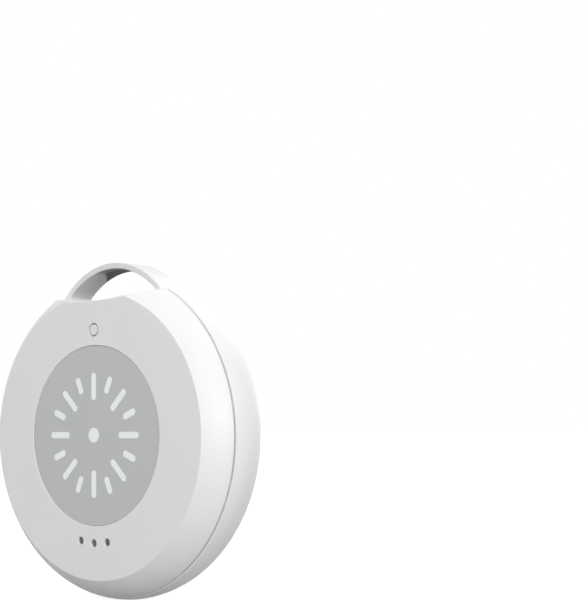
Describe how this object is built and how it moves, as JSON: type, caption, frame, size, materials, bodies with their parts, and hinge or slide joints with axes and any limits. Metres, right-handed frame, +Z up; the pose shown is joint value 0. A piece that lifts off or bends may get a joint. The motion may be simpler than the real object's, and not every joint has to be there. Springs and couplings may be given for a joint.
{
  "type": "glass break detector",
  "caption": "Round wireless glass break detector with a hang loop, grey front inlay, sound holes, twist-off battery door and rear tamper plunger.",
  "frame": {"origin": "on the axis of the round case, in the plane of the two rear mounting pads", "axes": "+Y out of the back into the wall, so the front faces -Y; +Z up, towards the hang loop; +X right, seen from the front"},
  "size_m": [0.0715, 0.0194, 0.0735],
  "materials": {
    "white_shell": "fine satin moulded white plastic",
    "loop_plastic": "satin light grey flexible plastic",
    "grey_inlay": "matte grey printed plastic disc",
    "clear_tape": "thin adhesive film",
    "milky_guide": "milky translucent plastic",
    "led_chip": "clear resin on a white chip",
    "dark_mesh": "fine dark woven mesh",
    "black_rubber": "soft moulded rubber",
    "bright_metal": "bright tinned metal can",
    "board_laminate": "green solder mask on laminate",
    "chip_black": "black moulded epoxy",
    "capacitor_body": "ochre moulded epoxy",
    "spring_steel": "plated spring metal",
    "battery_can": "nickel plated steel can",
    "white_door": "fine satin moulded white plastic",
    "plunger_plastic": "natural white acetal",
    "sensor_brass": "thin rolled brass",
    "sensor_ceramic": "silvered ceramic",
    "lead_insulation": "thin wire insulation",
    "screw_steel": "zinc plated steel",
    "pad_foam": "white foam tape with a peeled face"
  },
  "bodies": {
    "case": {"front_shell": "white_shell", "rear_shell": "white_shell", "hang_loop": "loop_plastic", "inlay_disc": "grey_inlay", "inlay_adhesive": "clear_tape", "light_guide": "milky_guide", "status_led": "led_chip", "microphone_mesh": "dark_mesh", "microphone_gasket": "black_rubber", "microphone": "bright_metal", "main_board": "board_laminate", "radio_module": "board_laminate", "radio_shield": "bright_metal", "microcontroller": "chip_black", "clock_crystal": "bright_metal", "audio_amplifier": "chip_black", "tank_capacitors": "capacitor_body", "chip_parts": "chip_black", "antenna": "spring_steel", "battery": "battery_can", "battery_contact_negative": "spring_steel", "battery_contact_positive": "spring_steel", "tamper_switch": "chip_black", "tamper_spring": "spring_steel", "shock_sensor_plate": "sensor_brass", "shock_sensor_ceramic": "sensor_ceramic", "shock_sensor_leads": "lead_insulation", "case_screws": "screw_steel", "mounting_pad_right": "pad_foam", "mounting_pad_left": "pad_foam"},
    "door": {"battery_door": "white_door"},
    "plunger": {"tamper_plunger": "plunger_plastic"}
  },
  "joints": [
    {"name": "door_twist", "type": "hinge", "parent": "case", "child": "door", "pos_m": [0, 0, 0], "axis": [0, 1, 0], "range_deg": [0, 30]},
    {"name": "plunger_press", "type": "slide", "parent": "case", "child": "plunger", "axis": [0, -1, 0], "range_m": [0, 0.0014], "stiffness_N_per_m": 300, "springref_m": -0.001, "deforming": ["tamper_spring"]}
  ]
}
